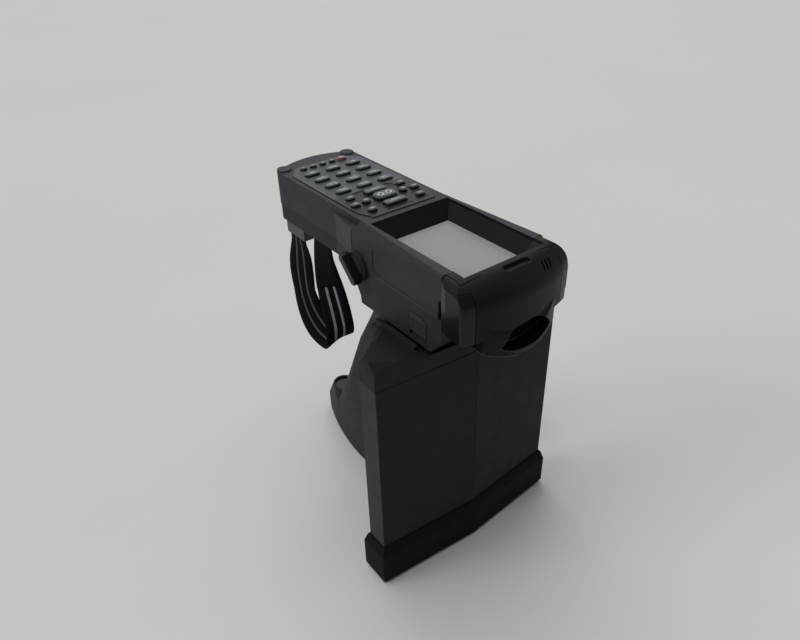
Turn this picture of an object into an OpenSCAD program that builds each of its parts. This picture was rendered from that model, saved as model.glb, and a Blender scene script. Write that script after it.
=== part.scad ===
// Handheld data collector on a pistol grip with a panel antenna.
// Millimetres, +Z up, nose towards -Y, floor at z = 0, mirror plane x = 0.
// A rugged keypad terminal sits in a cradle. The cradle runs down into
// a pistol grip with a battery foot, and carries a V-faced antenna panel.

/* [Terminal] */

// Width of the keypad section
body_w = 76; // [74:0.5:77]
// Width of the screen section
wide_w = 91.2; // [90:0.2:92]
// Height of the flat top of the terminal above the floor
top_z = 283; // [282.6:0.1:283.4]
// Y of the rearmost point of the rear face
rear_y = 135; // [133:0.5:137]
// Y where the nose cap meets the housing
nose_y = -101; // [-102:0.5:-100]
// Half width of the display opening
display_w = 52; // [50:0.5:54]
// Length of the display opening
display_l = 74; // [72:0.5:75]
// Wall of the housings
wall = 2.4; // [2:0.1:2.6]

/* [Keys] */

// Pitch of the key columns
key_px = 20.2; // [20:0.1:20.4]
// Pitch of the key rows
key_py = 15.5; // [15.3:0.1:15.6]
// Length of an oval key
key_l = 13.4; // [12.5:0.1:13.6]
// Width of an oval key
key_w = 6.6; // [6:0.1:7]
// Height of the key tops above the keypad plate
key_h = 2.2; // [1.8:0.1:2.4]
// Gap around each key in the plate
key_gap = 0.45; // [0.3:0.05:0.45]

/* [Antenna panel] */

// Width of the panel
panel_w = 176.8; // [170:0.4:178]
// Thickness of the panel at its ends
panel_t = 19; // [18:0.5:20]
// How far the middle crease stands forward of the ends
crease = 7; // [5:0.5:8]
// Height of the panel face's top edge
panel_top = 199; // [196:0.5:200]
// Height of the rubber foot
foot_h = 41; // [38:0.5:42]
// Flare of the rubber foot around the panel
foot_flare = 4; // [3:0.5:5]

/* [Grip] */

// Width of the grip
grip_w = 37; // [36:0.5:38]
// Half length of the battery foot
base_l = 56; // [54:0.5:57]
// Height of the battery foot's straight side
base_h = 12; // [10:0.5:13]

/* [Lock lever] */

// Radius of the round boss on the side
boss_r = 11.7; // [11:0.1:12]
// Length of the lever bar
lever_l = 26; // [24:0.5:28]

/* [Hidden] */

$fn = 48;
hw = body_w / 2;
ww = wide_w / 2;
nose_w = ww + 2.8;
seam_z = 277;
mouth_x = 3.5;
hp = panel_w / 2;
split_z = 254.2;
wide_split_z = 248.8;
flare_front = 1;
flare_back = 35;
recess_back = -11;
recess_front = -111;
glass_z = 271.4;
plate_z = top_z - 2.6;
plate_top = top_z + 0.8;
keymat_z = plate_z - 2.6;
panel_y = -83.5;
panel_rear = panel_y + panel_t;
lever_y = -6.5;
lever_z = 250.3;
pivot_y = -33;
pivot_z = 184;

// ---------- helpers ----------

// Box given by its two opposite corners.
module box(a, b) {
    translate(a)
        cube(b - a);
}

// A profile drawn in Y and Z, run along X between x0 and x1.
module along_x(x0, x1) {
    translate([x0, 0, 0])
        rotate([90, 0, 90])
            linear_extrude(x1 - x0)
                children();
}

// A profile drawn in X and Z, run along Y between y0 and y1.
module along_y(y0, y1) {
    translate([0, y1, 0])
        rotate([90, 0, 0])
            linear_extrude(y1 - y0)
                children();
}

// Flat outline between two heights.
module slab(z0, z1) {
    translate([0, 0, z0])
        linear_extrude(z1 - z0)
            children();
}

module both_sides() {
    children();
    mirror([1, 0, 0])
        children();
}

// Stadium outline, length l along X and width w.
module stadium(l, w) {
    square([l - w, w], center = true);
    for (s = [-1, 1])
        translate([s * (l - w) / 2, 0])
            circle(d = w);
}

// Rectangle with round corners, centred.
module round_rect(l, w, r) {
    square([l - 2 * r, w], center = true);
    square([l, w - 2 * r], center = true);
    for (sx = [-1, 1], sy = [-1, 1])
        translate([sx * (l / 2 - r), sy * (w / 2 - r)])
            circle(r);
}

// ---------- terminal outlines ----------

// Bowed rear end of the terminal, inset by d.
module rear_bow(d = 0) {
    intersection() {
        translate([0, rear_y - 62])
            circle(r = 62 - d, $fn = 96);
        translate([-hw + d, 60])
            square([body_w - 2 * d, 90]);
    }
}

// Outline of the narrow keypad section.
module narrow_outline(d = 0) {
    rear_bow(d);
    translate([-hw + d, nose_y])
        square([body_w - 2 * d, 95 - nose_y]);
    both_sides()
        translate([-hw + 6, rear_y - 13])
            circle(r = 6 - d);
    translate([-hw + d, 60])
        square([body_w - 2 * d, rear_y - 13 - 60]);
}

// Outline with the wide screen section and its flared shoulders.
module wide_outline(d = 0, rear = true) {
    if (rear)
        narrow_outline(d);
    polygon([
        [-ww + d, nose_y],
        [-ww + d, flare_front],
        [-hw + d, flare_back],
        [hw - d, flare_back],
        [ww - d, flare_front],
        [ww - d, nose_y]
    ]);
}

// Everything above the two sloping top chamfers of the screen section.
module top_chamfer_cut() {
    both_sides()
        translate([38, -2, top_z])
            rotate([0, 0, 3.2])
                rotate([0, 38.3, 0])
                    translate([-10, -150, 0])
                        cube([40, 151.5, 20]);
}

// Sloping well around the display.
module display_well() {
    hd = display_w / 2;
    intersection() {
        along_y(-120, 0)
            polygon([
                [-hd, 260], [hd, 260], [hd, glass_z + 0.8],
                [36.2, top_z - 2.2], [36.2, top_z + 5],
                [-36.2, top_z + 5], [-36.2, top_z - 2.2],
                [-hd, glass_z + 0.8]
            ]);
        along_x(-60, 60)
            polygon([
                [-98, 260], [-98 + display_l, 260], [-98 + display_l, glass_z + 0.8],
                [recess_back, top_z - 0.5], [recess_back, top_z + 5],
                [recess_front - 10, top_z + 5], [recess_front, top_z - 0.5],
                [-98, glass_z + 0.8]
            ]);
    }
}

// ---------- terminal ----------

module upper_housing() {
    color("DimGray")
    difference() {
        union() {
            slab(split_z, 277.5)
                narrow_outline();
            slab(277.5, top_z)
                narrow_outline();
            slab(wide_split_z, 277)
                intersection() {
                    wide_outline(rear = false);
                    translate([-60, nose_y])
                        square([120, -10 - nose_y]);
                }
            slab(split_z, 277)
                wide_outline(rear = false);
            difference() {
                box([-ww, nose_y, 277], [ww, -2, top_z]);
                top_chamfer_cut();
            }
            // raised corner knuckles of the rear rim
            both_sides()
                translate([-hw + 6.2, rear_y - 13, top_z - 4])
                    cylinder(r = 6, h = 5.2);
            // bowed rim standing above the keypad
            difference() {
                slab(top_z - 1, top_z + 1.2)
                    rear_bow();
                slab(top_z - 2, top_z + 2) {
                    rear_bow(3);
                    translate([-60, 50])
                        square([120, rear_y - 17 - 50]);
                }
            }
        }
        // inner room for the keypad and boards
        box([-hw + wall, -4, split_z - 1], [hw - wall, 104, plate_z - 1.4]);
        slab(split_z - 1, plate_z - 1.4)
            intersection() {
                rear_bow(3);
                translate([-28, 90])
                    square([56, 60]);
            }
        box([-ww + wall, nose_y + wall, wide_split_z - 1], [ww - wall, -4, glass_z]);
        // seat of the keypad plate
        slab(plate_z, top_z + 3)
            keypad_outline(0.15);
        slab(plate_z - 3, top_z)
            keypad_outline(-1.5);
        display_well();
        // vertical groove where the screen section starts
        both_sides()
            box([-ww - 1, flare_front - 0.6, split_z + 6], [-ww + 0.7, flare_front + 0.4, 278]);
        // shallow side panels
        both_sides()
            along_x(-ww - 1, -ww + 0.5)
                translate([-62, 262.3])
                    round_rect(74, 21, 5);
        // front corner ledges under the nose cap
        box([-60, nose_y - 1, wide_split_z - 1], [60, nose_y + wall + 1, glass_z - 8]);
        // through hole for the lock lever's boss
        translate([-ww + 10, lever_y, lever_z])
            rotate([0, -90, 0])
                cylinder(r = 8.2, h = 16);
    }
}

// Outline of the keypad plate, grown by d.
module keypad_outline(d = 0) {
    polygon([
        [-34.2 - d, 103], [-24 - d, 117 + d], [24 + d, 117 + d], [34.2 + d, 103],
        [34.2 + d, 10], [28.5 + d, -5 - d], [-28.5 - d, -5 - d], [-34.2 - d, 10]
    ]);
}

module keypad_plate() {
    color("SlateGray")
    difference() {
        slab(plate_z, plate_top)
            keypad_outline();
        for (i = [0 : key_count - 1])
            slab(plate_z - 1, plate_top + 1)
                key_place(i)
                    key_outline(i, key_gap);
        // darker recessed field around the navigation keys
        slab(plate_top - 0.5, plate_top + 1)
            polygon([
                [-17, 41], [17, 41], [29, 12], [25, -2], [-25, -2], [-29, 12]
            ]);
        // thin arc groove in front of the navigation keys
        slab(plate_top - 1, plate_top)
            difference() {
                polygon([[-12, 1], [12, 1], [9, -4.4], [-9, -4.4]]);
                polygon([[-11, 0.2], [11, 0.2], [8.3, -5.5], [-8.3, -5.5]]);
            }
    }
}

// ---------- keys ----------
// Keys 0 to 11 are the three columns of four oval keys, 12 to 15 the small
// round keys of the rear row, 16 the power key, 17 to 27 the navigation group.

key_count = 28;
nav_x = [0, 0, 0, -17.6, 17.6, -24.2, 24.2, -28, 28, -22.6, 22.6];
nav_y = [33.6, 20.6, 7.2, 20.6, 20.6, 32.4, 32.4, 19.4, 19.4, 5.4, 5.4];

function key_x(i) = i < 12 ? (floor(i / 4) - 1) * key_px
    : i < 17 ? -20 + (i - 12) * 9.5
    : nav_x[i - 17];
function key_y(i) = i < 12 ? 94.6 - (i % 4) * key_py
    : i < 17 ? 109.4
    : nav_y[i - 17];

module key_place(i) {
    translate([key_x(i), key_y(i)])
        children();
}

// Outline of key i about its own centre, grown by d.
module key_outline(i, d = 0) {
    if (i < 12)
        stadium(key_l + 2 * d, key_w + 2 * d);
    else if (i < 16)
        stadium(5.8 + 2 * d, 4.6 + 2 * d);
    else if (i == 16)
        stadium(8.6 + 2 * d, 6.4 + 2 * d);
    else if (i == 17 || i == 19)
        intersection() {
            circle(d = 20 + 2 * d);
            round_rect(19 + 2 * d, 7 + 2 * d, 1.6);
        }
    else if (i == 18)
        round_rect(18.6 + 2 * d, 11.6 + 2 * d, 4.4);
    else if (i == 20 || i == 21)
        stadium(6.4 + 2 * d, 6.2 + 2 * d);
    else
        stadium(7.4 + 2 * d, 5.4 + 2 * d);
}

// One key: cap through the plate, flange held under it, actuator post.
module key(i) {
    top = i == 18 ? plate_top + key_h + 0.6 : plate_top + key_h;
    color(i == 16 ? "IndianRed" : "SlateGray") {
        slab(plate_z - 0.9, top - 0.6)
            key_place(i)
                key_outline(i);
        slab(top - 0.6, top)
            key_place(i)
                key_outline(i, -0.5);
        slab(plate_z - 1.7, plate_z - 0.9)
            key_place(i)
                key_outline(i, 0.45);
    }
}

module keymat() {
    color("Gray")
    difference() {
        slab(keymat_z - 1.6, keymat_z)
            intersection() {
                keypad_outline(-3.4);
                union() {
                    translate([-31, -4])
                        square([62, 106]);
                    translate([-27.8, -4])
                        square([55.6, 118]);
                }
            }
        // dome seats
        for (i = [0 : key_count - 1])
            translate([key_x(i), key_y(i), keymat_z - 0.3])
                cylinder(d = 3.4, h = 1);
    }
}

// ---------- display and boards ----------

module display_glass() {
    color("LightGray")
        box([-display_w / 2 - 2, -98.5, glass_z - 1.5], [display_w / 2 + 2, -22, glass_z]);
}

module display_module() {
    color("Silver")
        box([-display_w / 2 - 3, -101 + wall + 3, glass_z - 6], [display_w / 2 + 3, -21, glass_z - 1.6]);
}

module main_board() {
    color("DarkGreen")
        box([-30, -90, 260.4], [30, 100, 262]);
}

// ---------- lower housing ----------

module lower_housing() {
    color("DimGray")
    difference() {
        union() {
            // keypad section
            slab(240, split_z - 0.02)
                intersection() {
                    narrow_outline(0.4);
                    translate([-50, -2])
                        square([100, 200]);
                }
            slab(237.5, 240)
                intersection() {
                    narrow_outline(4);
                    translate([-50, -2])
                        square([100, 200]);
                }
            // flared shoulders
            slab(240, split_z - 0.02)
                intersection() {
                    wide_outline(0.4, rear = false);
                    translate([-50, -9.9])
                        square([100, 60]);
                }
            // screen section, deeper than the keypad section
            intersection() {
                slab(206, wide_split_z - 0.02)
                    translate([-ww + 0.4, nose_y + 0.1])
                        square([wide_w - 0.8, 8 - nose_y]);
                along_x(-50, 50)
                    polygon([
                        [nose_y, 232], [nose_y + 13, 219], [-85, 213.4],
                        [-78.7, 213.4], [-78.7, 206.1], [-31, 206.1], [-31, 210],
                        [-18, 214.5], [-7, 217], [-6.5, 224], [-2, 232], [7.5, 240],
                        [7.5, 260], [nose_y, 260]
                    ]);
                along_y(-110, 20)
                    polygon([
                        [-ww, 260], [-ww, 218.5], [-ww + 4.5, 214], [-ww + 4.5, 205],
                        [ww - 4.5, 205], [ww - 4.5, 214], [ww, 218.5], [ww, 260]
                    ]);
            }
            // bracket under the rear end for the strap
            box([-30, 108, 231], [-22, 122, 240]);
        }
        // room for the boards
        box([-hw + 3, 4, 242.4], [hw - 3, 112, split_z + 1]);
        box([-ww + 3, nose_y + 3, 222], [ww - 3, 5, split_z + 1]);
        box([-30, nose_y - 1, 224], [30, nose_y + 4, 247]);
        // side latch pocket
        along_x(-ww - 1, -ww + 2)
            polygon([[-67, 221.5], [-67, 241.2], [-80, 241.2], [-85.6, 238], [-85.6, 221.5]]);
        // bore for the boss of the lock lever
        translate([-ww + 10, lever_y, lever_z])
            rotate([0, -90, 0])
                cylinder(r = 8.2, h = 16);
        // strap bar seats
        translate([-26, 102, 232.5])
            rotate([-90, 0, 0])
                cylinder(r = 1.55, h = 24);
    }
}

// ---------- nose ----------

// Outline of the nose: bulging sides and round corners, inset by d.
module nose_outline(d = 0) {
    polygon([
        [-ww + d, nose_y], [-ww - 2 + d, nose_y - 6], [-nose_w + d, nose_y - 20.4],
        [nose_w - d, nose_y - 20.4], [ww + 2 - d, nose_y - 6], [ww - d, nose_y]
    ]);
    both_sides()
        translate([-nose_w + 5.5, nose_y - 20.4])
            circle(r = 5.5 - d);
    translate([-nose_w + 5.5, nose_y - 40])
        square([2 * nose_w - 11, 30]);
}

// Bowed front with a large fillet to the top, turned about a far upright axis.
module nose_bow(d = 0) {
    translate([0, nose_y + 119])
        rotate_extrude($fn = 240) {
            translate([130.2, 263.5])
                circle(r = 19.8 - d, $fn = 72);
            translate([90, 230])
                square([60 - d, 33.5]);
            translate([90, 230])
                square([40.2, 53.3 - d]);
        }
}

// Nose body: outline cut by the bowed front and a domed top.
module nose_body(d = 0) {
    intersection() {
        union() {
            slab(250, 290)
                nose_outline(d);
            slab(242, 250)
                nose_outline(d + 0.6);
        }
        nose_bow(d);
        along_y(nose_y - 60, nose_y + 20) {
            translate([-nose_w + d, 232])
                square([2 * nose_w - 2 * d, 41]);
            both_sides()
                translate([-nose_w + 10.4, 273])
                    circle(r = 10.4 - d);
            translate([-nose_w + 10.4, 232])
                square([2 * nose_w - 20.8, 51.4 - d]);
        }
    }
}

// Thin groove on the top, around the front corners of the display well.
module top_groove() {
    both_sides() {
        box([-42.2, nose_y - 14.6, 280], [-41.6, nose_y + 1, 290]);
        box([-42.2, nose_y - 14.6, 280], [-25, nose_y - 14, 290]);
    }
}

// Lobe under the nose that carries the scan mouth.
module mouth_lobe(d = 0) {
    intersection() {
        along_y(nose_y - 40, nose_y - 1)
            intersection() {
                translate([0, 223.5 + 70])
                    circle(r = 70 - d, $fn = 128);
                translate([-33 + d, 220])
                    square([66 - 2 * d, 32]);
            }
        slab(220, 252)
            intersection() {
                translate([0, nose_y - 34 + 84])
                    circle(r = 84 - d, $fn = 192);
                translate([-33 + d, nose_y - 40])
                    square([66 - 2 * d, 39]);
            }
        along_x(-40, 40)
            polygon([
                [nose_y - 34, 224], [nose_y - 34, 234], [nose_y - 28, 251],
                [nose_y - 1, 251], [nose_y - 1, 232], [nose_y - 12, 224], [nose_y - 24, 222]
            ]);
    }
}

// Oval scan opening seen from the front, grown by d.
module mouth_shape(d = 0) {
    intersection() {
        translate([mouth_x, 226 + 48 - d])
            circle(r = 48, $fn = 96);
        translate([mouth_x, 246.5 - 28 + d])
            circle(r = 28, $fn = 96);
        translate([mouth_x - 26.5 - d, 220])
            square([53 + 2 * d, 30]);
    }
}

module nose_cap() {
    color("#1c1e20")
    difference() {
        union() {
            intersection() {
                nose_body();
                union() {
                    box([-ww + 6.9, nose_y - 60, 225], [ww - 6.9, nose_y, 290]);
                    box([-60, nose_y - 60, seam_z + 0.3], [60, nose_y, 290]);
                }
            }
            mouth_lobe();
        }
        display_well();
        top_groove();
        // hollow for the scanner
        box([-31, nose_y - 23, 236], [31, nose_y + 1, 267]);
        // scan mouth
        along_y(nose_y - 45, nose_y - 21)
            mouth_shape();
        // bevelled rim of the mouth
        along_y(nose_y - 45, nose_y - 33.4)
            mouth_shape(1.3);
        // oblong indicator recess in the top
        translate([3, nose_y - 17.5, 277])
            linear_extrude(10)
                stadium(23, 4.6);
        // slanted sound slots
        for (i = [-1 : 1])
            translate([24.5 + i * 3.4, nose_y - 24 + i * 0.6, 274])
                rotate([0, 0, 80])
                    linear_extrude(10)
                        stadium(7.2, 1.5);
    }
}

// Corner bumper on the -X side.
module bumper() {
    difference() {
        intersection() {
            nose_body();
            box([-60, nose_y - 60, 236], [-ww + 6.3, nose_y, seam_z]);
        }
        top_groove();
    }
}

module bumper_left() {
    color("#1a1b1d")
        bumper();
}

module bumper_right() {
    color("#1a1b1d")
        mirror([1, 0, 0])
            bumper();
}

module indicator() {
    color("#303438")
        translate([3, nose_y - 17.5, 277.05])
            linear_extrude(3)
                stadium(22.8, 4.4);
}

module scan_window() {
    color("#200810")
        along_y(nose_y - 22.9, nose_y - 21.1)
            translate([0, 246])
                square([60, 19], center = true);
}

module scan_engine() {
    color("Gray") {
        box([-17, nose_y - 19.5, 240], [17, nose_y - 3, 255]);
        translate([-8, nose_y - 19.4, 247])
            rotate([90, 0, 0])
                cylinder(d = 7, h = 1.2);
        translate([8, nose_y - 19.4, 247])
            rotate([90, 0, 0])
                cylinder(d = 5, h = 1.2);
    }
}

// ---------- side controls ----------

// Round boss on the -X side that carries the lock lever.
module lever_boss() {
    color("DimGray")
        translate([0, lever_y, lever_z])
            rotate([0, -90, 0])
                difference() {
                    union() {
                        translate([0, 0, ww])
                            cylinder(r = boss_r, h = 3);
                        translate([0, 0, ww - 4])
                            cylinder(r = 8.1, h = 5);
                        translate([0, 0, ww + 3])
                            cylinder(r = boss_r - 3.2, h = 0.8);
                    }
                    translate([0, 0, ww - 5])
                        cylinder(r = 3.05, h = 20);
                    // step ring on the face
                    translate([0, 0, ww + 2.4])
                        difference() {
                            cylinder(r = boss_r - 1.6, h = 1);
                            cylinder(r = boss_r - 2.4, h = 1);
                        }
                }
}

// Tilted bar handle on a shaft that turns in the boss.
module lock_lever() {
    color("#151617")
        translate([0, lever_y, lever_z])
            rotate([0, -90, 0]) {
                translate([0, 0, ww - 4.7])
                    cylinder(r = 3, h = 9.5);
                translate([0, 0, ww + 4.2])
                    rotate([0, 0, 45])
                        linear_extrude(6)
                            stadium(lever_l, 7);
                translate([0, 0, ww + 10.2])
                    rotate([0, 0, 45])
                        linear_extrude(0.8)
                            stadium(lever_l - 1.6, 5.4);
                // cam that locks the terminal in the cradle
                translate([0, 0, ww - 6.4])
                    rotate([0, 0, 45])
                        linear_extrude(1.8)
                            stadium(15, 8);
            }
}

// Sliding latch in the side wall.
module side_latch() {
    color("#2c2e31")
    difference() {
        along_x(-ww + 0.1, -ww + 1.9)
            polygon([[-67.4, 226], [-67.4, 240.7], [-79.8, 240.7], [-85.1, 237.7], [-85.1, 226]]);
        for (z = [228.5 : 2.2 : 236])
            along_x(-ww, -ww + 0.8)
                translate([-84, z])
                    square([15, 0.8]);
    }
}

// ---------- hand strap ----------

// Rod under the rear end, with a buckle frame hanging from its two ends.
module strap_bar() {
    color("#2a2b2d") {
        translate([-26, 97, 232.5])
            rotate([-90, 0, 0])
                cylinder(r = 1.5, h = 33);
        difference() {
            union() {
                box([-33, 97.6, 225], [-29, 126.5, 229.5]);
                box([-33, 97.6, 225], [-32.1, 126.5, 236.9]);
                box([-33, 97.6, 225], [-23.8, 99, 234.6]);
                box([-33, 125.1, 225], [-23.8, 126.5, 234.6]);
            }
            box([-32.1, 99, 224], [-29.9, 125.1, 230]);
        }
    }
}

// Middle line of the strap in Y and Z, from the buckle round to the housing.
strap_line = [
    [112, 226.5], [111, 210], [112, 190], [110, 168], [101.5, 151],
    [86.5, 140.5], [68, 139], [56, 144.5], [52, 157], [55, 172],
    [61, 189], [66, 204], [69, 220], [69, 236.6]
];
strap_n = 2 * (len(strap_line) - 1);

// Smooth curve through the points; t counts points.
function strap_at(t) =
    let (n = len(strap_line) - 1, i = min(floor(t), n - 1), f = t - i,
        a = strap_line[max(i - 1, 0)], b = strap_line[i],
        c = strap_line[i + 1], d = strap_line[min(i + 2, n)])
    0.5 * (2 * b + f * (c - a) + f * f * (2 * a - 5 * b + 4 * c - d)
        + f * f * f * (3 * b - a - 3 * c + d));

// The width runs along Y at both ends and turns towards X at the bottom,
// where the loop also tips down to the outside.
function strap_swing(t) = max(sin(180 * pow(t, 1.2)), 0);
function strap_turn(t) = 90 + 62 * pow(strap_swing(t), 1.5)
    + 16 * sin(180 * min(max(t - 0.04, 0) / 0.18, 1));
function strap_tip(t) = 36 * pow(strap_swing(t), 6);

module strap_plate(t) {
    p = strap_at(t * (len(strap_line) - 1));
    translate([-31 - sin(180 * t), p[0], p[1]])
        rotate([0, 0, strap_turn(t)])
            rotate([0, strap_tip(t), 0])
                cube([25, 1.6, 1.6], center = true);
}

module hand_strap() {
    color("#202124")
        for (i = [0 : strap_n - 1])
            hull() {
                strap_plate(i / strap_n);
                strap_plate((i + 1) / strap_n);
            }
}

// ---------- cradle and shoulders ----------

module cradle() {
    color("#3c4143")
    difference() {
        union() {
            // tray under the terminal
            box([-49.6, -77.5, 198], [49.6, -31, 217]);
            // neck
            hull() {
                box([-45, -72, 196], [45, -18, 204]);
                translate([0, 0, 175.8])
                    linear_extrude(1)
                        translate([0, 8])
                            round_rect(grip_w, 50, 17);
            }
            // shoulders falling to the ends of the panel
            both_sides()
                hull() {
                    box([-49.6, -86.3, 199.1], [-40, -33, 212]);
                    box([-70, -84.7, 199.1], [-66, -55, 219]);
                }
            both_sides()
                hull() {
                    box([-70, -84.7, 199.1], [-66, -55, 219]);
                    box([-hp, -83.3, 199.1], [-hp + 2, -64.5, 216]);
                    box([-hp, -76, 199.1], [-hp + 2, -70, 222]);
                }
            box([-49.6, -84.5, 199.1], [49.6, -60, 212.6]);
            // front wall folded like the panel below it
            slab(199.1, 212.4)
                intersection() {
                    panel_outline(-0.3);
                    translate([-100, -100])
                        square([200, 36]);
                }
        }
        // bed of the terminal
        box([-46, -78.9, 213.2], [46, -20, 230]);
        box([-41.4, -78.9, 206], [41.4, -10, 230]);
        // clear of the panel's top edge
        box([-100, -100, 190], [100, panel_rear + 0.1, 199.1]);
        // cable way down the grip
        box([-9, -24, 170], [9, 8, 210]);
    }
}

// ---------- antenna panel ----------

// Plan outline of the panel, grown by d.
module panel_outline(d = 0) {
    polygon([
        [-hp - d, panel_rear + d], [-hp - d, panel_y - d], [0, panel_y - crease - d],
        [hp + d, panel_y - d], [hp + d, panel_rear + d]
    ]);
}

module antenna_front() {
    color("#45484a")
    difference() {
        slab(foot_h, panel_top)
            intersection() {
                panel_outline();
                translate([-100, -100])
                    square([200, 26.5]);
            }
        difference() {
            slab(foot_h + 3, panel_top - 3)
                intersection() {
                    panel_outline(-2.6);
                    translate([-100, -100])
                        square([200, 30]);
                }
            screw_axes(-73.5)
                cylinder(d = 8, h = 12);
        }
        screw_axes(-73)
            cylinder(d = 2.6, h = 7);
    }
}

module antenna_back() {
    color("#3c4143")
    difference() {
        box([-hp, -73.5, foot_h], [hp, panel_rear, panel_top]);
        difference() {
            box([-hp + 3, -74, foot_h + 3], [hp - 3, panel_rear - 2.6, panel_top - 3]);
            screw_axes(panel_rear - 2)
                cylinder(d = 8, h = 12);
        }
        // counterbored screw holes
        screw_axes(-60)
            cylinder(d = 3.2, h = 20);
        screw_axes(-60)
            cylinder(d = 6, h = 6);
    }
}

// The four screw axes of the panel, pointing forward from the plane y.
module screw_axes(y) {
    both_sides()
        for (z = [60, 180])
            translate([-80, y, z])
                rotate([90, 0, 0])
                    children();
}

module antenna_board() {
    color("#8a7a3a")
        box([-74, -78.5, 50], [74, -76.9, 190]);
}

module panel_screws() {
    color("Gray")
    both_sides()
        for (z = [60, 180])
            translate([-80, -64.7, z])
                rotate([90, 0, 0]) {
                    cylinder(d = 5.4, h = 1.3);
                    translate([0, 0, 1.3])
                        cylinder(d = 2.5, h = 12);
                }
}

module panel_foot() {
    color("#26282a")
    difference() {
        hull() {
            slab(3, foot_h - 10)
                panel_outline(foot_flare);
            slab(0, 0.5)
                panel_outline(foot_flare - 2.5);
            slab(foot_h - 5, foot_h - 2)
                panel_outline(1.6);
            slab(foot_h - 1, foot_h)
                panel_outline(-0.4);
        }
        slab(6, foot_h + 1)
            panel_outline(-5);
    }
}

// ---------- grip ----------

// Oval section of the grip at height z, half sizes a and b, grown by d.
module grip_section(z, y, a, b, d = 0) {
    translate([0, y, z])
        linear_extrude(0.5)
            round_rect(2 * (a + d), 2 * (b + d), min(a, b) - 2 + d);
}

// Raked handle between the neck and the battery foot, grown by d.
module grip_solid(d = 0) {
    hull() {
        grip_section(175.2, 8, grip_w / 2, 25, d);
        grip_section(140, 30, grip_w / 2 - 0.5, 24, d);
    }
    hull() {
        grip_section(140, 30, grip_w / 2 - 0.5, 24, d);
        grip_section(88, 51, grip_w / 2, 26, d);
    }
}

module grip_half() {
    difference() {
        grip_solid();
        // room for the battery and wiring
        hull() {
            grip_section(180, 7, grip_w / 2 - 4, 14);
            grip_section(140, 30, grip_w / 2 - 4, 19);
        }
        hull() {
            grip_section(140.4, 30, grip_w / 2 - 4, 19);
            grip_section(80, 53, grip_w / 2 - 4, 20);
        }
        // slot and pivot of the trigger
        box([-6.4, -40, 146], [6.4, 6.5, 176.4]);
        translate([-30, -8.5, 170])
            rotate([0, 90, 0])
                cylinder(d = 3.1, h = 60);
        // halves meet on the mirror plane
        box([0, -100, 0], [100, 200, 300]);
    }
}

module grip_left() {
    color("#3a4244")
        grip_half();
}

module grip_right() {
    color("#3a4244")
        mirror([1, 0, 0])
            grip_half();
}

module trigger_pin() {
    color("Silver")
        translate([-16.4, -8.5, 170])
            rotate([0, 90, 0])
                cylinder(d = 3, h = 32.8);
}

// Curved trigger that swings about the pin.
module trigger() {
    color("#1d1f21")
    difference() {
        along_x(-6, 6)
            difference() {
                union() {
                    translate([-8.5, 170])
                        circle(d = 9);
                    polygon([
                        [-12, 172], [-5.5, 167], [-8, 158], [-9, 147.5],
                        [-17.5, 144.5], [-20.5, 146], [-19.4, 151], [-18, 158]
                    ]);
                }
                translate([-35, 158.5])
                    circle(r = 18.4, $fn = 64);
            }
        translate([-30, -8.5, 170])
            rotate([0, 90, 0])
                cylinder(d = 3.06, h = 60);
    }
}

module trigger_switch() {
    color("#2a3a2a")
        box([-5, 1.2, 150], [5, 6, 162]);
}

module battery_pack() {
    color("#2d3033")
        hull() {
            grip_section(60, 60, 11, 15);
            grip_section(134, 33, 11, 15);
        }
}

// ---------- battery foot ----------

// Plan outline of the foot, pointed to the rear, inset by d.
module base_outline(d = 0) {
    intersection() {
        translate([237 - 23.5, 40])
            circle(r = 237 - d, $fn = 256);
        translate([-237 + 23.5, 40])
            circle(r = 237 - d, $fn = 256);
        translate([0, 134 - base_l])
            square([60, 2 * (base_l - d)], center = true);
    }
}

module base_shell() {
    color("#3a4244")
    difference() {
        union() {
            slab(1.5, base_h)
                base_outline();
            slab(0, 1.5)
                base_outline(1.5);
            hull() {
                slab(base_h, base_h + 0.5)
                    base_behind(-60, 112);
                grip_section(87.4, 51, grip_w / 2, 26);
            }
            // heel that rises to the ring round the release
            hull() {
                slab(base_h - 1, base_h)
                    base_behind(80, 140);
                slab(18.5, 19.5)
                    base_behind(118, 140);
                heel_ring()
                    translate([0, 0, -3])
                        cylinder(r = 11.6, h = 3);
            }
        }
        // room for the battery
        hull() {
            grip_section(18, 72, 13, 19);
            grip_section(88, 53, grip_w / 2 - 4, 19);
        }
        // seat of the release button in the heel
        heel_ring()
            translate([0, 0, -8.4])
                cylinder(d = 19.4, h = 20);
    }
}

// Part of the foot's outline between two values of Y.
module base_behind(y_low, y_high) {
    intersection() {
        base_outline();
        translate([-60, y_low])
            square([120, y_high - y_low]);
    }
}

// Frame on the top of the heel.
module heel_ring() {
    translate([0, 107, 46])
        rotate([8, 0, 0])
            children();
}

module battery_release() {
    color("#101112")
        heel_ring()
            translate([0, 0, -5.6])
                cylinder(d = 19, h = 3.6);
}

// ---------- assembly ----------

upper_housing();
keypad_plate();
keymat();
display_glass();
display_module();
main_board();
lower_housing();
nose_cap();
bumper_left();
bumper_right();
indicator();
scan_window();
scan_engine();
lever_boss();
lock_lever();
side_latch();
strap_bar();
hand_strap();
cradle();
antenna_front();
antenna_back();
antenna_board();
battery_pack();
panel_screws();
panel_foot();
grip_left();
grip_right();
trigger_pin();
trigger();
trigger_switch();
base_shell();
battery_release();
key(0);  // key_1
key(1);  // key_2
key(2);  // key_3
key(3);  // key_4
key(4);  // key_5
key(5);  // key_6
key(6);  // key_7
key(7);  // key_8
key(8);  // key_9
key(9);  // key_10
key(10);  // key_11
key(11);  // key_12
key(12);  // key_13
key(13);  // key_14
key(14);  // key_15
key(15);  // key_16
key(16);  // key_17
key(17);  // key_18
key(18);  // key_19
key(19);  // key_20
key(20);  // key_21
key(21);  // key_22
key(22);  // key_23
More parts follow.
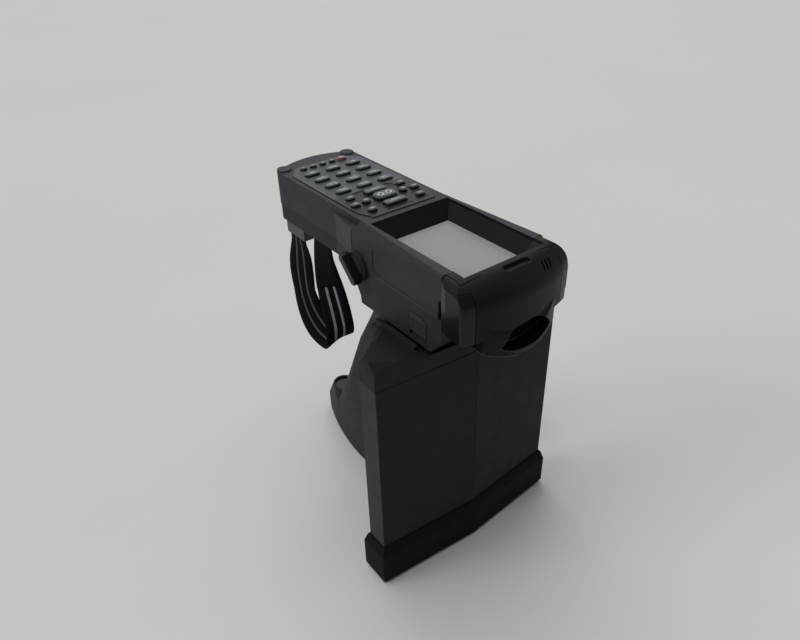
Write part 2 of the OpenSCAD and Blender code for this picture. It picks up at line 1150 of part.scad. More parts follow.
key(23);  // key_24
key(24);  // key_25
key(25);  // key_26
key(26);  // key_27
key(27);  // key_28
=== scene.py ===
"""Looks of the handheld data collector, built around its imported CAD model."""
import math

import bmesh
import bpy
from mathutils import Matrix, Vector


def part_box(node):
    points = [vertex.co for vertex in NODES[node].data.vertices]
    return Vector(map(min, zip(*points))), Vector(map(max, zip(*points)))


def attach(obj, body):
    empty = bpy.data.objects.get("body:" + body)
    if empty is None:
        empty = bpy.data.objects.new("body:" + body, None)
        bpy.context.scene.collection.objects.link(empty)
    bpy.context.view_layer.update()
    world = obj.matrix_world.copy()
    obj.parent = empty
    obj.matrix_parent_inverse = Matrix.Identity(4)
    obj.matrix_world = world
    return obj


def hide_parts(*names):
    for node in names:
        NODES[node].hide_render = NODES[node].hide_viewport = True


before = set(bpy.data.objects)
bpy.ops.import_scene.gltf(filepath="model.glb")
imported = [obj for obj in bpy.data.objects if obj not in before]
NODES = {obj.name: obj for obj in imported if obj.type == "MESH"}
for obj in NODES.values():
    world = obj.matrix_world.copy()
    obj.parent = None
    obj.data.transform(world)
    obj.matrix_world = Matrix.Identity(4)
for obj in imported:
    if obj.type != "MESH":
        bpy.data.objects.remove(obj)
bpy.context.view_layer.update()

MM = 0.001

# Heights of the terminal, in metres
TOP_Z = 0.283
PLATE_TOP = TOP_Z + 0.0008
KEY_TOP = PLATE_TOP + 0.0022


# ---------- camera ----------

CAMERA_AT = Vector((-0.289, -0.388, 0.500))
CAMERA_AZIMUTH = math.radians(-36.263)
CAMERA_ELEVATION = math.radians(33.525)
CAMERA_ROLL = -0.03108
CAMERA_LENS = 31.26


def make_camera():
    """Camera in front of the nose, turned by azimuth, elevation and roll."""
    a, e, r = CAMERA_AZIMUTH, CAMERA_ELEVATION, CAMERA_ROLL
    back = Vector((math.sin(a) * math.cos(e), -math.cos(a) * math.cos(e), math.sin(e)))
    right = Vector((math.cos(a), math.sin(a), 0))
    up = back.cross(right)
    x_axis = right * math.cos(r) + up * math.sin(r)
    y_axis = up * math.cos(r) - right * math.sin(r)
    turn = Matrix((x_axis, y_axis, back)).transposed()
    data = bpy.data.cameras.new("camera")
    data.lens = CAMERA_LENS
    data.sensor_width = 36
    data.clip_start = 0.01
    camera = bpy.data.objects.new("camera", data)
    camera.matrix_world = Matrix.Translation(CAMERA_AT) @ turn.to_4x4()
    bpy.context.collection.objects.link(camera)
    bpy.context.scene.camera = camera


make_camera()


# ---------- materials ----------

class Shader:
    """A material's node tree with short calls for what is used here."""

    def __init__(self, name):
        self.material = bpy.data.materials.new(name)
        self.material.use_nodes = True
        self.tree = self.material.node_tree
        self.tree.nodes.clear()
        self.bsdf = self.new("ShaderNodeBsdfPrincipled")
        out = self.new("ShaderNodeOutputMaterial")
        self.join(self.bsdf, "BSDF", out, "Surface")
        self.place = self.new("ShaderNodeTexCoord")

    def new(self, kind, **settings):
        """Adds a node of a kind with its settings."""
        node = self.tree.nodes.new(kind)
        for key, value in settings.items():
            setattr(node, key, value)
        return node

    def join(self, a, out, b, into):
        """Links output out of node a to input into of node b."""
        self.tree.links.new(a.outputs[out], b.inputs[into])

    def noise(self, scale, detail=3, roughness=0.5, stretch=None):
        """Noise over the object's own coordinates, scale in cycles per metre."""
        node = self.new("ShaderNodeTexNoise")
        node.inputs["Scale"].default_value = scale
        node.inputs["Detail"].default_value = detail
        node.inputs["Roughness"].default_value = roughness
        if stretch:
            mapping = self.new("ShaderNodeMapping")
            mapping.inputs["Scale"].default_value = stretch
            self.join(self.place, "Object", mapping, "Vector")
            self.join(mapping, "Vector", node, "Vector")
        else:
            self.join(self.place, "Object", node, "Vector")
        return node

    def math(self, operation, a, b=None):
        """A Math node; a and b are numbers or (node, output) pairs."""
        node = self.new("ShaderNodeMath", operation=operation)
        for socket, value in zip(node.inputs, (a, b)):
            if isinstance(value, tuple):
                self.tree.links.new(value[0].outputs[value[1]], socket)
            elif value is not None:
                socket.default_value = value
        return node

    def ramp(self, source, out, low, high, start=0.0, end=1.0):
        """Maps source's range low..high to start..end, clamped."""
        node = self.new("ShaderNodeMapRange")
        node.inputs["From Min"].default_value = low
        node.inputs["From Max"].default_value = high
        node.inputs["To Min"].default_value = start
        node.inputs["To Max"].default_value = end
        self.join(source, out, node, "Value")
        return node

    def mix(self, factor, out, a, b):
        """Colour a to b by a factor node; a or b may be a colour or a Mix node."""
        node = self.new("ShaderNodeMix", data_type="RGBA")
        self.join(factor, out, node, "Factor")
        for socket, value in (("A", a), ("B", b)):
            target = [s for s in node.inputs if s.name == socket and s.type == "RGBA"][0]
            if isinstance(value, bpy.types.Node):
                self.tree.links.new(mix_result(value), target)
            else:
                target.default_value = (*value, 1)
        return node

    def axis(self, name):
        """The object's own X, Y or Z coordinate in metres, as a (node, output) pair."""
        if not hasattr(self, "split"):
            self.split = self.new("ShaderNodeSeparateXYZ")
            self.join(self.place, "Object", self.split, "Vector")
        return self.split, name

    def colour(self, node):
        """Takes the base colour from a Mix node."""
        self.tree.links.new(mix_result(node), self.bsdf.inputs["Base Color"])


def mix_result(node):
    """The colour output of a Mix node."""
    return [s for s in node.outputs if s.type == "RGBA"][0]


def edge_mask(n, radius):
    """1 along convex and concave edges, 0 on flat faces; also the bevel node."""
    bevel = n.new("ShaderNodeBevel", samples=4)
    bevel.inputs["Radius"].default_value = radius
    place = n.new("ShaderNodeNewGeometry")
    dot = n.new("ShaderNodeVectorMath", operation="DOT_PRODUCT")
    n.join(bevel, "Normal", dot, 0)
    n.join(place, "Normal", dot, 1)
    return n.ramp(dot, "Value", 0.995, 0.86), bevel


def plastic(name, base, rough, grain=1500, depth=0.00004, edge=0.0006, wear=0.35,
            shade=0.14, specular=0.5, coat=0.0, coat_rough=0.1, zones=(), top=None,
            rim=None):
    """Moulded plastic or rubber: mottled colour, fine grain, polished edges.

    Each of zones is (colour, test) and paints its colour where test(n) gives 1.
    top = (colour, z_low, z_high) fades to another colour with height, a painted
    highlight on the top faces. rim = (colour, test) paints a highlight along the
    edges where test(n) gives 1.
    """
    n = Shader(name)
    mottle = n.noise(28, 4, 0.6)
    darker = [c * (1 - shade) for c in base]
    lighter = [c * (1 + shade) for c in base]
    tone = n.mix(mottle, "Fac", darker, lighter)
    # Painted highlight: the top faces fade to a lighter colour.
    if top:
        high = n.ramp(*n.axis("Z"), top[1], top[2])
        tone = n.mix(high, "Result", tone, top[0])
    for paint, test in zones:
        factor, out = test(n)
        tone = n.mix(factor, out, tone, paint)
    mask, bevel = edge_mask(n, edge)
    scuffs = n.noise(240, 5, 0.7)
    broken = n.ramp(scuffs, "Fac", 0.35, 0.75, 0.15, 1)
    amount = n.math("MULTIPLY", (mask, "Result"), (broken, "Result"))
    amount = n.math("MULTIPLY", (amount, "Value"), wear)
    worn = [min(1, c * 1.9 + 0.02) for c in base]
    tone = n.mix(amount, "Value", tone, worn)
    # Painted highlight along the edges that the rim test picks.
    if rim:
        lit = n.math("MULTIPLY", (mask, "Result"), rim[1](n))
        tone = n.mix(lit, "Value", tone, rim[0])
    n.colour(tone)
    gloss = n.noise(70, 3)
    n.join(n.ramp(gloss, "Fac", 0.3, 0.7, rough - 0.06, rough + 0.06), "Result",
           n.bsdf, "Roughness")
    n.bsdf.inputs["Specular IOR Level"].default_value = specular
    n.bsdf.inputs["Coat Weight"].default_value = coat
    n.bsdf.inputs["Coat Roughness"].default_value = coat_rough
    bump = n.new("ShaderNodeBump")
    bump.inputs["Strength"].default_value = 0.5
    bump.inputs["Distance"].default_value = depth
    n.join(n.noise(grain, 2, 0.6), "Fac", bump, "Height")
    n.join(bevel, "Normal", bump, "Normal")
    n.join(bump, "Normal", n.bsdf, "Normal")
    return n.material


def metal(name, base, rough):
    """Brushed metal with fine lines along X."""
    n = Shader(name)
    lines = n.noise(900, 3, 0.6, stretch=(0.05, 1, 1))
    n.colour(n.mix(lines, "Fac", [c * 0.8 for c in base], base))
    n.bsdf.inputs["Metallic"].default_value = 1
    n.join(n.ramp(lines, "Fac", 0.2, 0.8, rough - 0.08, rough + 0.1), "Result",
           n.bsdf, "Roughness")
    return n.material


def board(name):
    """Green solder mask with pale pads."""
    n = Shader(name)
    pads = n.new("ShaderNodeTexVoronoi")
    pads.inputs["Scale"].default_value = 420
    n.join(n.place, "Object", pads, "Vector")
    spot = n.ramp(pads, "Distance", 0.22, 0.16)
    n.colour(n.mix(spot, "Result", (0.015, 0.09, 0.035), (0.5, 0.42, 0.2)))
    n.bsdf.inputs["Roughness"].default_value = 0.4
    return n.material


DOT_PITCH = 0.00023


def display_surface(name):
    """Grey reflective liquid-crystal panel behind glass, with a fine dot grid."""
    n = Shader(name)
    lines = []
    for axis in ("X", "Y"):
        wave = n.math("MULTIPLY", n.axis(axis), 2 * math.pi / DOT_PITCH)
        lines.append(n.math("SINE", (wave, "Value")))
    grid = n.math("MAXIMUM", (lines[0], "Value"), (lines[1], "Value"))
    dots = n.ramp(grid, "Value", 0.8, 1.0, 0, 0.12)
    cloud = n.noise(22, 3)
    tone = n.mix(cloud, "Fac", (0.27, 0.283, 0.279), (0.31, 0.323, 0.316))
    n.colour(n.mix(dots, "Result", tone, (0.2, 0.21, 0.2)))
    n.bsdf.inputs["Coat Weight"].default_value = 0.35
    n.bsdf.inputs["Coat Roughness"].default_value = 0.12
    n.join(n.ramp(cloud, "Fac", 0.2, 0.8, 0.38, 0.46), "Result", n.bsdf, "Roughness")
    return n.material


def below(height, front_of=None):
    """A zone test: 1 where the surface is lower than height, or nearer than front_of."""
    def test(n):
        low = n.math("LESS_THAN", n.axis("Z"), height)
        if front_of is not None:
            near = n.math("LESS_THAN", n.axis("Y"), front_of)
            low = n.math("MAXIMUM", (low, "Value"), (near, "Value"))
        return low, "Value"
    return test


def fold_line(half_width):
    """A zone test: 1 on the thin groove down the panel's fold."""
    def test(n):
        wide = n.math("ABSOLUTE", n.axis("X"))
        return n.math("LESS_THAN", (wide, "Value"), half_width), "Value"
    return test


def all_of(n, parts):
    """Product of several Math nodes that each give 0 or 1."""
    product = parts[0]
    for part in parts[1:]:
        product = n.math("MULTIPLY", (product, "Value"), (part, "Value"))
    return product


def beyond(half_x, y_low=-1.0, y_high=1.0):
    """A zone test: 1 further than half_x from the plane of symmetry."""
    def test(n):
        wide = n.math("ABSOLUTE", n.axis("X"))
        parts = [n.math("GREATER_THAN", (wide, "Value"), half_x),
                 n.math("GREATER_THAN", n.axis("Y"), y_low),
                 n.math("LESS_THAN", n.axis("Y"), y_high)]
        return all_of(n, parts), "Value"
    return test


def within(half_x, y_low, y_high, z_high):
    """A zone test: 1 inside a box about the plane of symmetry."""
    def test(n):
        wide = n.math("ABSOLUTE", n.axis("X"))
        parts = [n.math("LESS_THAN", (wide, "Value"), half_x),
                 n.math("GREATER_THAN", n.axis("Y"), y_low),
                 n.math("LESS_THAN", n.axis("Y"), y_high),
                 n.math("LESS_THAN", n.axis("Z"), z_high)]
        return all_of(n, parts), "Value"
    return test


RIBS_ACROSS = 12
RIB_PITCH = 0.0021
STRIPE_BLUR = 0.012


def webbing(name, dark, light, stripes):
    """Woven tape with stripes, each (centre, half width) as a share of its width.

    The mesh's UV runs across (0..1) and along in metres.
    """
    n = Shader(name)
    uv = n.new("ShaderNodeUVMap", uv_map="tape")
    split = n.new("ShaderNodeSeparateXYZ")
    n.join(uv, "UV", split, "Vector")
    across = n.math("MULTIPLY", (split, "X"), 2 * math.pi * RIBS_ACROSS)
    along = n.math("MULTIPLY", (split, "Y"), 2 * math.pi / RIB_PITCH)
    sway = n.math("MULTIPLY", (n.math("SINE", (across, "Value")), "Value"), 1.4)
    herring = n.math("ADD", (along, "Value"), (sway, "Value"))
    ribs = n.math("SINE", (herring, "Value"))
    cords = n.math("COSINE", (across, "Value"))
    height = n.math("ADD", (ribs, "Value"), (cords, "Value"))
    fuzz = n.noise(1800, 4, 0.7)
    body = n.mix(fuzz, "Fac", [c * 0.7 for c in dark], [c * 1.4 for c in dark])
    thread = n.mix(fuzz, "Fac", [c * 0.75 for c in light], light)
    for centre, half in stripes:
        off = n.math("ABSOLUTE", (n.math("SUBTRACT", (split, "X"), centre), "Value"))
        band = n.ramp(off, "Value", half + STRIPE_BLUR, half - STRIPE_BLUR)
        body = n.mix(band, "Result", body, thread)
    n.colour(body)
    n.bsdf.inputs["Specular IOR Level"].default_value = 0.1
    n.bsdf.inputs["Sheen Weight"].default_value = 0.02
    n.join(n.ramp(fuzz, "Fac", 0.2, 0.8, 0.75, 0.95), "Result", n.bsdf, "Roughness")
    bump = n.new("ShaderNodeBump")
    bump.inputs["Strength"].default_value = 0.7
    bump.inputs["Distance"].default_value = 0.0002
    n.join(height, "Value", bump, "Height")
    n.join(bump, "Normal", n.bsdf, "Normal")
    return n.material


def hook_pile(name, base):
    """Hook-and-loop pile: soft, uneven and matt."""
    n = Shader(name)
    pile = n.noise(2600, 4, 0.75)
    patch = n.noise(160, 3)
    tone = n.mix(pile, "Fac", [c * 0.6 for c in base], [c * 1.6 for c in base])
    n.colour(n.mix(n.ramp(patch, "Fac", 0.3, 0.7, 0, 0.35), "Result", tone,
                   [c * 1.7 for c in base]))
    n.join(n.ramp(pile, "Fac", 0.2, 0.8, 0.8, 1), "Result", n.bsdf, "Roughness")
    n.bsdf.inputs["Sheen Weight"].default_value = 0.02
    n.bsdf.inputs["Specular IOR Level"].default_value = 0.1
    bump = n.new("ShaderNodeBump")
    bump.inputs["Strength"].default_value = 0.9
    bump.inputs["Distance"].default_value = 0.0003
    n.join(pile, "Fac", bump, "Height")
    n.join(bump, "Normal", n.bsdf, "Normal")
    return n.material


# Places on the terminal and the panel, in metres
# Painted shade: the display well, painted dark as a shaded recess.
SHADED_WELL = within(0.0363, -0.112, -0.0105, TOP_Z - 0.0004)
# Painted light: the housing's side flare, painted lighter as if lit.
LIT_FLARE = beyond(0.0384, 0.001, 0.0348)
PLATE_SUNK = PLATE_TOP - 0.00025
NAVIGATION_Y = 0.0405
# Height below which the key sides get painted shade.
SHADED_KEY_SIDE = KEY_TOP - 0.0009
MOUTH_LIP = 0.2335
# Heights over which the nose's top gets a painted highlight.
NOSE_LIT_TOP = (0.266, 0.282)
# Distance from the middle beyond which the panel's side gets painted light.
LIT_PANEL_SIDE = 0.0880
FOLD_HALF = 0.00035

HOUSING = plastic("housing", (0.036, 0.038, 0.041), 0.5, specular=0.12,
                  # Painted light: the side flare is painted lighter where light falls on
                  # it.
                  zones=[((0.045, 0.047, 0.050), LIT_FLARE),
                         # Painted shade: the display well's walls are painted almost
                         # black.
                         ((0.004, 0.0055, 0.0075), SHADED_WELL)],
                  # Painted sheen: the housing's top rim fades to a lighter colour.
                  top=((0.050, 0.056, 0.061), TOP_Z - 0.0006, TOP_Z - 0.0001))
LOWER = plastic("lower_housing", (0.028, 0.030, 0.032), 0.52, specular=0.1)
PLATE = plastic("plate", (0.066, 0.079, 0.086), 0.42, grain=2200, edge=0.0003, wear=0.2,
                specular=0.3,
                # Painted shade: the plate's faces below its top, in the key holes, are
                # painted dark; the plate at Y below NAVIGATION_Y gets the same dark
                # colour.
                zones=[((0.022, 0.026, 0.031), below(PLATE_SUNK, NAVIGATION_Y))])
KEY = plastic("key", (0.110, 0.133, 0.147), 0.4, grain=2600, edge=0.0003, wear=0.5,
              # Painted shade: the keys' sides below their tops are painted dark, as the
              # shadow in the gaps.
              specular=0.35, zones=[((0.014, 0.018, 0.022), below(SHADED_KEY_SIDE))])
POWER = plastic("power_key", (0.30, 0.145, 0.14), 0.42, grain=2600, edge=0.0003,
                wear=0.3, specular=0.35)
NOSE = plastic("nose_gloss", (0.0052, 0.0060, 0.0064), 0.34, grain=2600, depth=0.00002,
               edge=0.0009, wear=0.5, specular=0.1, coat=0.04, coat_rough=0.22,
               # Painted highlight: the nose's top fades to a lighter colour, as light
               # from above.
               top=((0.017, 0.0185, 0.019), *NOSE_LIT_TOP),
               # Painted highlight: a bright reflection line on the edges of the mouth's
               # lower lip.
               rim=((0.16, 0.165, 0.165), below(MOUTH_LIP)))
BUMPER = plastic("bumper_gloss", (0.006, 0.007, 0.008), 0.3, grain=3000, depth=0.00001,
                 edge=0.0012, wear=0.6, specular=0.12, coat=0.2, coat_rough=0.08)
GLOSS = plastic("black_gloss", (0.007, 0.0075, 0.0085), 0.28, grain=3000, depth=0.00001,
                edge=0.001, wear=0.5, specular=0.2, coat=0.2, coat_rough=0.1)
RUBBER = plastic("rubber", (0.006, 0.007, 0.007), 0.66, grain=1100, depth=0.00008,
                 edge=0.002, wear=0.4, specular=0.08)
GRIP = plastic("grip", (0.034, 0.038, 0.039), 0.58, grain=1300, depth=0.00006,
               edge=0.0010, wear=0.35, specular=0.1)
CRADLE = plastic("cradle", (0.020, 0.022, 0.023), 0.58, grain=1300, depth=0.00006,
                 edge=0.0010, wear=0.5, specular=0.1)
PANEL = plastic("panel", (0.019, 0.0207, 0.0203), 0.54, grain=900, depth=0.00006,
                edge=0.0008, wear=0.6, specular=0.08,
                zones=[((0.003, 0.0035, 0.0035), fold_line(FOLD_HALF)),
                       # Painted light: the panel's side face is painted lighter, as lit
                       # from the left.
                       ((0.043, 0.045, 0.044), beyond(LIT_PANEL_SIDE))])
LENS = plastic("indicator_lens", (0.026, 0.028, 0.029), 0.3, grain=3000,
               depth=0.00001, edge=0.0006, specular=0.3)
STEEL = metal("steel", (0.55, 0.55, 0.56), 0.35)
BOARD = board("board")
DISPLAY = display_surface("display")
WINDOW = plastic("window_red", (0.012, 0.002, 0.004), 0.15, grain=3000, depth=0.000005,
                 wear=0.1, specular=0.3)
WHITE_PRINT = plastic("white_print", (0.80, 0.82, 0.84), 0.5, grain=4000, depth=0.000005,
                      wear=0.1, shade=0.06)
BUCKLE = plastic("buckle_grey", (0.060, 0.062, 0.062), 0.5, grain=2600, edge=0.0005)
STRIPES = [(0.348, 0.042), (0.652, 0.042)]
TAPE = webbing("strap_webbing", (0.0040, 0.0042, 0.0058), (0.36, 0.36, 0.39), STRIPES)
TAPE_INNER = webbing("strap_webbing_inner", (0.0036, 0.0040, 0.0046),
                     (0.125, 0.125, 0.132), [(centre, 0.032) for centre, _ in STRIPES])
PILE = hook_pile("strap_pile", (0.0034, 0.0036, 0.0040))

FINISH = {
    "upper_housing": HOUSING, "lower_housing": LOWER, "lever_boss": LOWER,
    "side_latch": HOUSING, "keypad_plate": PLATE, "keymat": RUBBER,
    "display_glass": DISPLAY, "display_module": STEEL, "main_board": BOARD,
    "nose_cap": NOSE, "bumper_left": BUMPER, "bumper_right": BUMPER,
    "indicator": LENS, "scan_window": WINDOW, "scan_engine": STEEL,
    "lock_lever": GLOSS, "strap_bar": BUCKLE, "cradle": CRADLE,
    "antenna_front": PANEL, "antenna_back": PANEL, "antenna_board": BOARD,
    "battery_pack": RUBBER, "panel_screws": STEEL, "panel_foot": RUBBER,
    "grip_left": GRIP, "grip_right": GRIP, "trigger_pin": STEEL, "trigger": GLOSS,
    "trigger_switch": BOARD, "base_shell": GRIP, "battery_release": GLOSS,
}
for node_name, node_object in NODES.items():
    paint = FINISH.get(node_name, KEY)
    if node_name == "key_17":
        paint = POWER
    node_object.data.materials.clear()
    node_object.data.materials.append(paint)


# ---------- small helpers for new pieces ----------

def add_mesh(name, bm, material, body, smooth=True):
    """Turns a bmesh into a piece that rides on a CAD body."""
    mesh = bpy.data.meshes.new(name)
    bmesh.ops.recalc_face_normals(bm, faces=bm.faces)
    bm.to_mesh(mesh)
    bm.free()
    piece = bpy.data.objects.new(name, mesh)
    bpy.context.collection.objects.link(piece)
    mesh.materials.append(material)
    for face in mesh.polygons:
        face.use_smooth = smooth
    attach(piece, body)
    return piece


def raised_outline(bm, points, centre, height, bevel):
    """A low pad on a horizontal face: an outline, lifted and drawn in at its top."""
    rings = []
    for lift, inset in ((-0.00005, 0), (height - bevel, 0), (height, bevel)):
        ring = []
        for x, y in points:
            size = math.hypot(x, y)
            k = (size - inset) / size
            ring.append(bm.verts.new((centre[0] + x * k, centre[1] + y * k,
                                      centre[2] + lift)))
        rings.append(ring)
    for low, high in zip(rings, rings[1:]):
        for i in range(len(low)):
            j = (i + 1) % len(low)
            bm.faces.new((low[i], low[j], high[j], high[i]))
    bm.faces.new(rings[-1])
    bm.faces.new(list(reversed(rings[0])))


def rounded(width, depth, radius, steps=6):
    """Points of a rectangle with round corners, about the origin."""
    points = []
    for cx, cy, start in ((1, 1, 0), (-1, 1, 90), (-1, -1, 180), (1, -1, 270)):
        for i in range(steps + 1):
            angle = math.radians(start + 90 * i / steps)
            points.append((cx * (width / 2 - radius) + radius * math.cos(angle),
                           cy * (depth / 2 - radius) + radius * math.sin(angle)))
    return points


# ---------- legends on the keys ----------

# Strokes of a plain seven-part digit in a unit cell, each (x, y, width, height).
PARTS = {
    "a": (0, 1, 1, 0), "b": (0.5, 0.5, 0, 1), "c": (0.5, -0.5, 0, 1),
    "d": (0, -1, 1, 0), "e": (-0.5, -0.5, 0, 1), "f": (-0.5, 0.5, 0, 1),
    "g": (0, 0, 1, 0),
}
DIGITS = ["abcdef", "bc", "abged", "abgcd", "fgbc", "afgcd", "afgecd", "abc",
          "abcdefg", "abcdfg"]
STROKE = 0.00062
DASH = 0.0007
DIGIT_SIZE = 0.0040
LIFT = 0.0001


def add_bar(bm, x, y, z, length, width, turn=0.0):
    """One printed stroke with round ends lying on a key's top."""
    outline = rounded(max(length, width), width, width * 0.45, 4)
    if turn:
        c, s = math.cos(turn), math.sin(turn)
        outline = [(px * c - py * s, px * s + py * c) for px, py in outline]
    raised_outline(bm, outline, (x, y, z), LIFT, LIFT * 0.3)


def add_digit(bm, digit, x, y, z, size):
    """A digit that reads upright from the keypad's end: its top points to -Y."""
    half_w, half_h = size * 0.26, size * 0.5
    for part in DIGITS[digit]:
        px, py, w, h = PARTS[part]
        cx, cy = x - px * 2 * half_w, y - py * half_h
        if w:
            add_bar(bm, cx, cy, z, 2 * half_w + STROKE, STROKE)
        else:
            add_bar(bm, cx, cy, z, half_h + STROKE, STROKE, math.pi / 2)


def key_centre(number):
    """Middle of a key's box and the height of its top."""
    low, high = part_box("key_%d" % number)
    return (low + high) / 2, high.z


def legend(number, marks):
    """White print on one key; marks is a function that draws into the bmesh."""
    centre, top = key_centre(number)
    bm = bmesh.new()
    marks(bm, centre.x, centre.y, top)
    add_mesh("key_%d_print" % number, bm, WHITE_PRINT, "key_%d_body" % number,
             smooth=False)


def number_marks(digit):
    """Marks of a number key: a digit and two short lines for its letters."""
    def draw(bm, x, y, z):
        add_digit(bm, digit, x + 0.0019, y, z, DIGIT_SIZE)
        add_bar(bm, x - 0.0016, y - 0.0010, z, 0.0026, DASH)
        add_bar(bm, x - 0.0021, y + 0.0010, z, 0.0036, DASH)
    return draw


def dash_marks(length, count=1):
    """Marks of a function key: one or more short dashes."""
    def draw(bm, x, y, z):
        for i in range(count):
            add_bar(bm, x, y + (i - (count - 1) / 2) * 0.0013, z, length, DASH)
    return draw


def window_marks(bm, x, y, z):
    """The centre key's two open squares."""
    half, stroke = 0.0021, 0.001
    for centre in (x - 0.0037, x + 0.0037):
        for dx, dy, turn in ((0, half, 0), (0, -half, 0),
                             (half, 0, math.pi / 2), (-half, 0, math.pi / 2)):
            add_bar(bm, centre + dx, y + dy, z, 2 * half + stroke, stroke, turn)


# Three columns of four: 1 2 3 is the row by the display, and 0 is in the rear row.
for column in range(3):
    for row in range(4):
        if row == 0 and column != 1:
            legend(column * 4 + row + 1, dash_marks(0.0045, 2))
        else:
            digit = 0 if row == 0 else (3 - row) * 3 + 3 - column
            legend(column * 4 + row + 1, number_marks(digit))
for number in range(13, 17):
    legend(number, dash_marks(0.0026))
legend(17, dash_marks(0.0032))
legend(18, dash_marks(0.009))
legend(20, dash_marks(0.009))
legend(19, window_marks)
for number in range(21, 29):
    legend(number, dash_marks(0.0030))


# ---------- hand strap ----------

# Middle line (Y, Z) of the strap, the same route as its CAD solid.
STRAP_LINE = [
    (0.112, 0.2265), (0.111, 0.210), (0.112, 0.190), (0.110, 0.168), (0.1015, 0.151),
    (0.0865, 0.1405), (0.068, 0.139), (0.056, 0.1445), (0.052, 0.157), (0.055, 0.172),
    (0.061, 0.189), (0.066, 0.204), (0.069, 0.220), (0.069, 0.2366),
]
STRAP_WIDTH = 0.025
STRAP_THICK = 0.0014
STRAP_STEPS = 130
TAPE_COLUMNS = 8
PATCH_SPAN = (0.800, 0.998)
PATCH_THICK = 0.0007
PATCH_LIFT = -0.0010
PATCH_STEPS = 36


def strap_centre(u):
    """Catmull-Rom point on the middle line; u runs 0..1 from the buckle."""
    last = len(STRAP_LINE) - 1
    t = u * last
    i = min(int(t), last - 1)
    f = t - i
    a, b = Vector(STRAP_LINE[max(i - 1, 0)]), Vector(STRAP_LINE[i])
    c, d = Vector(STRAP_LINE[i + 1]), Vector(STRAP_LINE[min(i + 2, last)])
    p = 0.5 * (2 * b + f * (c - a) + f * f * (2 * a - 5 * b + 4 * c - d)
               + f ** 3 * (3 * b - a - 3 * c + d))
    return Vector((-0.031 - 0.001 * math.sin(math.pi * u), p.x, p.y))


def strap_across(u):
    """Unit vector along the strap's width."""
    swing = max(math.sin(math.pi * u ** 1.2), 0)
    near_buckle = min(max(u - 0.04, 0) / 0.18, 1)
    turn = math.radians(90 + 62 * swing ** 1.5 + 16 * math.sin(math.pi * near_buckle))
    tip = math.radians(36 * swing ** 6)
    return Vector((math.cos(turn) * math.cos(tip), math.sin(turn) * math.cos(tip),
                   -math.sin(tip)))


def strap_frame(u):
    """Centre, across and outward directions at u."""
    step = 0.004
    along = (strap_centre(min(u + step, 1)) - strap_centre(max(u - step, 0))).normalized()
    across = strap_across(u)
    out = across.cross(along).normalized()
    across = along.cross(out).normalized()
    return strap_centre(u), across, out


def tape(name, u0, u1, width, thick, lift, material, steps, inner=None):
    """A flat tape that follows the strap, lifted off its middle surface.

    inner is another material for the face turned to the inside of the loop.
    """
    bm = bmesh.new()
    uv = bm.loops.layers.uv.new("tape")
    rows, length, last = [], 0.0, None
    for i in range(steps + 1):
        u = u0 + (u1 - u0) * i / steps
        centre, across, out = strap_frame(u)
        if last is not None:
            length += (centre - last).length
        last = centre
        row = []
        for side in (1, -1):
            for j in range(TAPE_COLUMNS + 1):
                s = j / TAPE_COLUMNS if side == 1 else 1 - j / TAPE_COLUMNS
                edge = abs(2 * s - 1)
                rise = thick / 2 * (1 - 0.6 * edge ** 8)
                p = centre + across * (s - 0.5) * width + out * (lift + side * rise)
                row.append((bm.verts.new(p), s, length))
        rows.append(row)
    for a, b in zip(rows, rows[1:]):
        for k in range(len(a)):
            m = (k + 1) % len(a)
            corners = (a[k], a[m], b[m], b[k])
            face = bm.faces.new([v[0] for v in corners])
            face.material_index = 1 if inner and k < TAPE_COLUMNS else 0
            for loop, v in zip(face.loops, corners):
                loop[uv].uv = (v[1], v[2])
    for row in (rows[0], rows[-1]):
        face = bm.faces.new([v[0] for v in row])
        for loop, v in zip(face.loops, row):
            loop[uv].uv = (v[1], v[2])
    piece = add_mesh(name, bm, material, "frame")
    if inner:
        piece.data.materials.append(inner)
    return piece, length


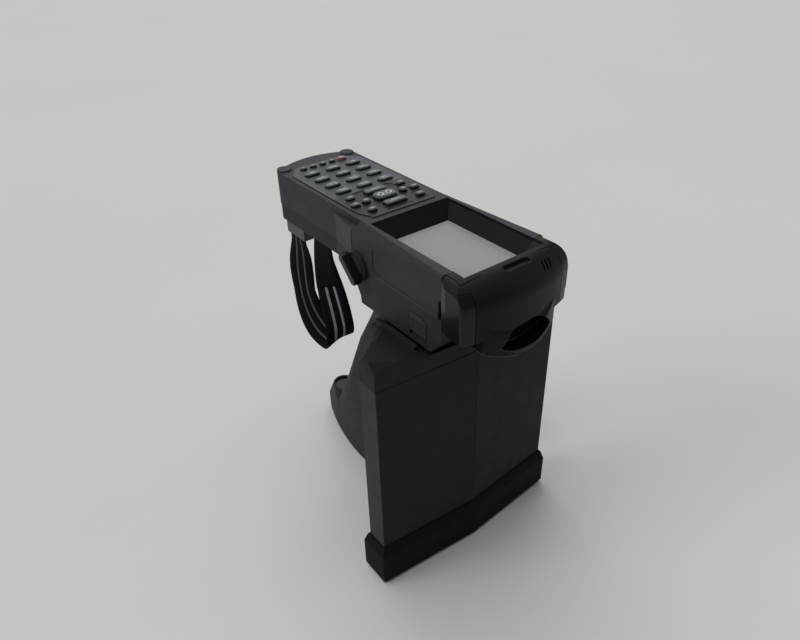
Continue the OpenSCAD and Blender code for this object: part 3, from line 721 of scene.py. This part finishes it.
strap, strap_length = tape("strap_webbing", 0, 1, STRAP_WIDTH, STRAP_THICK, 0, TAPE,
                           STRAP_STEPS, inner=TAPE_INNER)
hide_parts("hand_strap")
patch, _ = tape("strap_patch", *PATCH_SPAN, STRAP_WIDTH * 0.98, PATCH_THICK, PATCH_LIFT,
                PILE, PATCH_STEPS)


# ---------- floor, light ----------

def make_floor():
    """Large pale floor under the object."""
    bm = bmesh.new()
    size, cells = 9.0, 24
    bmesh.ops.create_grid(bm, x_segments=cells, y_segments=cells, size=size)
    mesh = bpy.data.meshes.new("floor")
    bm.to_mesh(mesh)
    bm.free()
    floor = bpy.data.objects.new("floor", mesh)
    floor.location = (0, 1.5, 0)
    bpy.context.collection.objects.link(floor)
    n = Shader("floor_pale")
    stain = n.noise(1.6, 4)
    n.colour(n.mix(stain, "Fac", (0.70, 0.705, 0.68), (0.75, 0.755, 0.73)))
    n.bsdf.inputs["Roughness"].default_value = 0.7
    n.bsdf.inputs["Specular IOR Level"].default_value = 0.2
    mesh.materials.append(n.material)


def make_sun(name, source, strength, spread):
    """Even, soft light that comes from the direction of source."""
    data = bpy.data.lights.new(name, "SUN")
    data.energy = strength
    data.angle = math.radians(spread)
    lamp = bpy.data.objects.new(name, data)
    lamp.rotation_mode = "QUATERNION"
    lamp.rotation_quaternion = (-Vector(source)).to_track_quat("-Z", "Y")
    bpy.context.collection.objects.link(lamp)


make_floor()
world = bpy.data.worlds.new("studio")
world.use_nodes = True
world.node_tree.nodes["Background"].inputs["Color"].default_value = (0.98, 0.99, 1.0, 1)
world.node_tree.nodes["Background"].inputs["Strength"].default_value = 0.15
bpy.context.scene.world = world
make_sun("left_window", (-1.9, 0.75, 1.05), 0.76, 30)
make_sun("rear_wall", (0.65, 0.95, 0.85), 0.55, 60)
make_sun("overhead", (-0.2, 0.5, 2.0), 1.20, 70)
make_sun("right_fill", (1.3, -0.9, 0.5), 0.12, 40)
make_sun("ceiling_lamp", (-0.35, -0.15, 1.0), 0.10, 3)
bpy.context.scene.view_settings.view_transform = "Standard"
